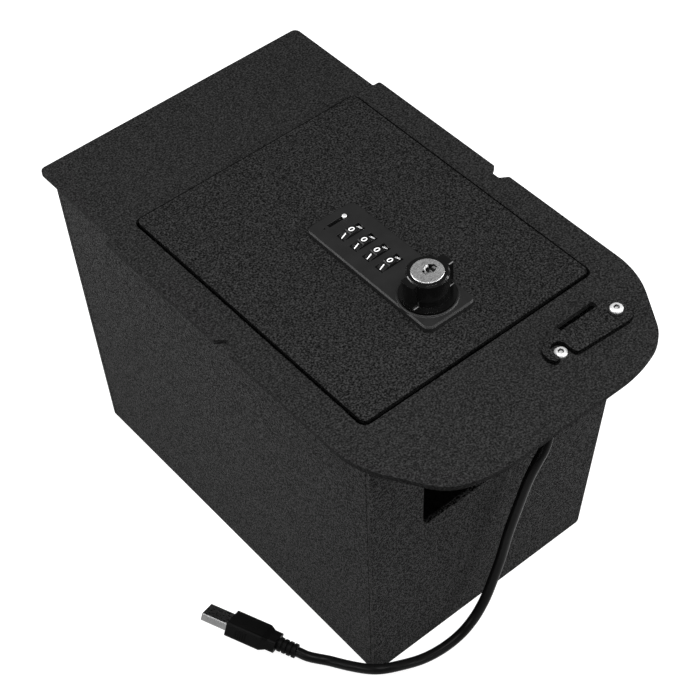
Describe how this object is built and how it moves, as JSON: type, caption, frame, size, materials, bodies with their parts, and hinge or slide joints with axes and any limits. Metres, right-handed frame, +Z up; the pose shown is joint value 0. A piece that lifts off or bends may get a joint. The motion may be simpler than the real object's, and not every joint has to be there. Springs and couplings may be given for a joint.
{
  "type": "console safe",
  "caption": "Tapered steel box under a wide top flange, with a hinged lid, a combination lock with a knob, a swinging cord guard and a charging lead.",
  "frame": {"origin": "on the ground under the safe, at the middle of its length and width without the lead", "axes": "+Z up; the hinge side of the lid is towards +Y and the cord guard towards -Y; +X is to the right seen from the cord guard's end"},
  "size_m": [0.2233, 0.3024, 0.2006],
  "materials": {
    "powder_coated_steel": "black wrinkle powder coat",
    "lock_housing": "satin black die casting",
    "gloss_black": "gloss black",
    "black_plastic": "smooth black",
    "black_rubber": "matt",
    "cable_jacket": "soft black PVC",
    "stainless_steel": "bright stainless steel",
    "zinc_plated_steel": "zinc plate"
  },
  "bodies": {
    "safe": {"flange_plate": "powder_coated_steel", "body_shell": "powder_coated_steel", "front_panel": "powder_coated_steel", "rear_panel": "powder_coated_steel", "floor_mat": "black_rubber", "lid_ledge_left": "powder_coated_steel", "lid_ledge_right": "powder_coated_steel", "lid_pad_left_front": "black_rubber", "lid_pad_left_rear": "black_rubber", "lid_pad_right_front": "black_rubber", "lid_pad_right_rear": "black_rubber", "hinge_bracket_left": "powder_coated_steel", "hinge_bracket_right": "powder_coated_steel", "hinge_rod": "zinc_plated_steel", "hinge_clip_left": "zinc_plated_steel", "hinge_clip_right": "zinc_plated_steel", "strike_bracket": "powder_coated_steel", "guard_washer": "black_plastic", "guard_pivot_screw": "stainless_steel", "guard_pivot_nut": "zinc_plated_steel", "guard_catch_screw": "stainless_steel", "guard_catch_nut": "zinc_plated_steel", "usb_socket": "black_plastic", "usb_cable": "cable_jacket", "plug_overmold": "cable_jacket", "plug_shell": "stainless_steel", "plug_tongue": "black_plastic"},
    "lid": {"lid_plate": "powder_coated_steel", "hinge_arm_left": "powder_coated_steel", "hinge_arm_right": "powder_coated_steel", "lock_face": "lock_housing", "lock_case": "lock_housing", "dial_shaft": "zinc_plated_steel", "lock_clamp_front": "zinc_plated_steel", "lock_clamp_rear": "zinc_plated_steel", "clamp_screw_front": "zinc_plated_steel", "clamp_screw_rear": "zinc_plated_steel"},
    "knob": {"knob": "gloss_black", "cam": "zinc_plated_steel", "cam_washer": "zinc_plated_steel", "cam_bolt": "zinc_plated_steel"},
    "key_plug": {"key_plug": "stainless_steel"},
    "number_dial_1": {"number_dial_1": "black_plastic"},
    "number_dial_2": {"number_dial_2": "black_plastic"},
    "number_dial_3": {"number_dial_3": "black_plastic"},
    "number_dial_4": {"number_dial_4": "black_plastic"},
    "code_change_pin": {"code_change_pin": "stainless_steel"},
    "cord_guard": {"cord_guard": "powder_coated_steel"}
  },
  "joints": [
    {"name": "lid_hinge", "type": "hinge", "parent": "safe", "child": "lid", "pos_m": [0.0007, 0.1072, 0.1672], "axis": [-1, 0, 0], "range_deg": [0, 100]},
    {"name": "knob_turn", "type": "hinge", "parent": "lid", "child": "knob", "pos_m": [0.0018, -0.0528, 0.19], "axis": [0, 0, -1], "range_deg": [0, 90]},
    {"name": "key_turn", "type": "hinge", "parent": "knob", "child": "key_plug", "pos_m": [0.0018, -0.0528, 0.2], "axis": [0, 0, -1], "range_deg": [0, 90]},
    {"name": "code_change_slide", "type": "slide", "parent": "lid", "child": "code_change_pin", "axis": [-1, 0, 0], "range_m": [0, 0.008]},
    {"name": "cord_guard_swing", "type": "hinge", "parent": "safe", "child": "cord_guard", "pos_m": [0.061, -0.1189, 0.18165], "axis": [0, 0, -1], "range_deg": [0, 24]},
    {"name": "dial_1_turn", "type": "hinge", "parent": "lid", "child": "number_dial_1", "pos_m": [0.0018, 0.004, 0.1777], "axis": [0, 1, 0], "continuous": true},
    {"name": "dial_2_turn", "type": "hinge", "parent": "lid", "child": "number_dial_2", "pos_m": [0.0018, -0.0056, 0.1777], "axis": [0, 1, 0], "continuous": true},
    {"name": "dial_3_turn", "type": "hinge", "parent": "lid", "child": "number_dial_3", "pos_m": [0.0018, -0.0152, 0.1777], "axis": [0, 1, 0], "continuous": true},
    {"name": "dial_4_turn", "type": "hinge", "parent": "lid", "child": "number_dial_4", "pos_m": [0.0018, -0.0248, 0.1777], "axis": [0, 1, 0], "continuous": true}
  ]
}
